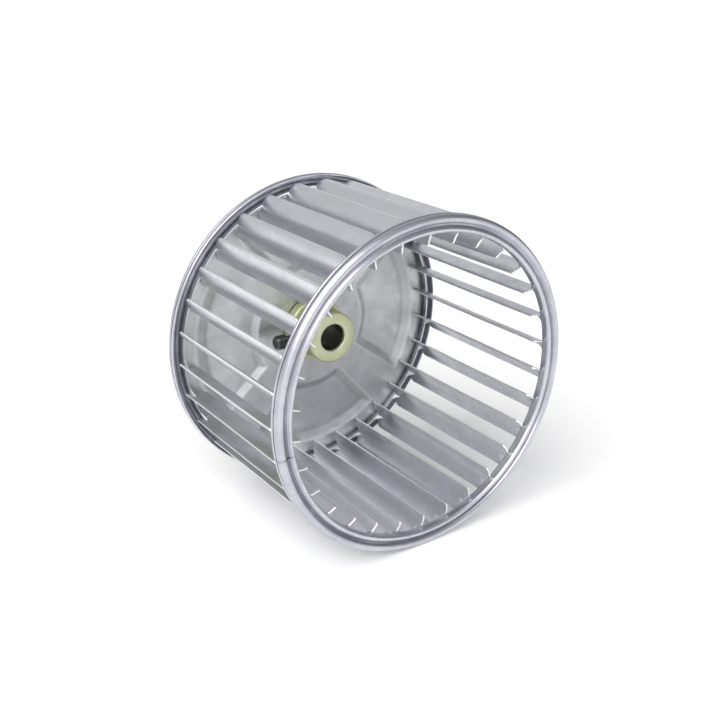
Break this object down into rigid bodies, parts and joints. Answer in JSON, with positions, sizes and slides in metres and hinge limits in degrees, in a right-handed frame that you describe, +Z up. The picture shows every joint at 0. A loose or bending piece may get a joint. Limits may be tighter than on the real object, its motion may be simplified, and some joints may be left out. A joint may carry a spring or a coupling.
{
  "type": "blower motor wheel",
  "caption": "Single-inlet centrifugal blower wheel: forward-curved sheet blades between two rolled rings, with a pressed back disc and a bored hub.",
  "frame": {"origin": "on the wheel's axis, halfway along the drum", "axes": "+Y along the axis towards the motor side, so the inlet faces -Y; +Z up; the set screw points along -X"},
  "size_m": [0.146, 0.0952, 0.146],
  "materials": {
    "bright_zinc": "bright galvanised sheet",
    "dull_zinc": "dull galvanised sheet",
    "olive_zinc": "yellow passivated zinc, satin",
    "black_oxide": "black oxide, satin"
  },
  "bodies": {
    "wheel": {"inlet_ring": "bright_zinc", "inlet_band": "bright_zinc", "back_ring": "bright_zinc", "back_band": "bright_zinc", "back_disc": "dull_zinc", "hub": "olive_zinc", "blade_01": "bright_zinc", "blade_02": "bright_zinc", "blade_03": "bright_zinc", "blade_04": "bright_zinc", "blade_05": "bright_zinc", "blade_06": "bright_zinc", "blade_07": "bright_zinc", "blade_08": "bright_zinc", "blade_09": "bright_zinc", "blade_10": "bright_zinc", "blade_11": "bright_zinc", "blade_12": "bright_zinc", "blade_13": "bright_zinc", "blade_14": "bright_zinc", "blade_15": "bright_zinc", "blade_16": "bright_zinc", "blade_17": "bright_zinc", "blade_18": "bright_zinc", "blade_19": "bright_zinc", "blade_20": "bright_zinc", "blade_21": "bright_zinc", "blade_22": "bright_zinc", "blade_23": "bright_zinc", "blade_24": "bright_zinc", "blade_25": "bright_zinc", "blade_26": "bright_zinc", "blade_27": "bright_zinc", "blade_28": "bright_zinc", "blade_29": "bright_zinc", "blade_30": "bright_zinc"},
    "screw": {"set_screw": "black_oxide"}
  },
  "joints": [
    {"name": "set_screw_travel", "type": "slide", "parent": "wheel", "child": "screw", "axis": [-1, 0, 0], "range_m": [-0.0008, 0.005]}
  ]
}
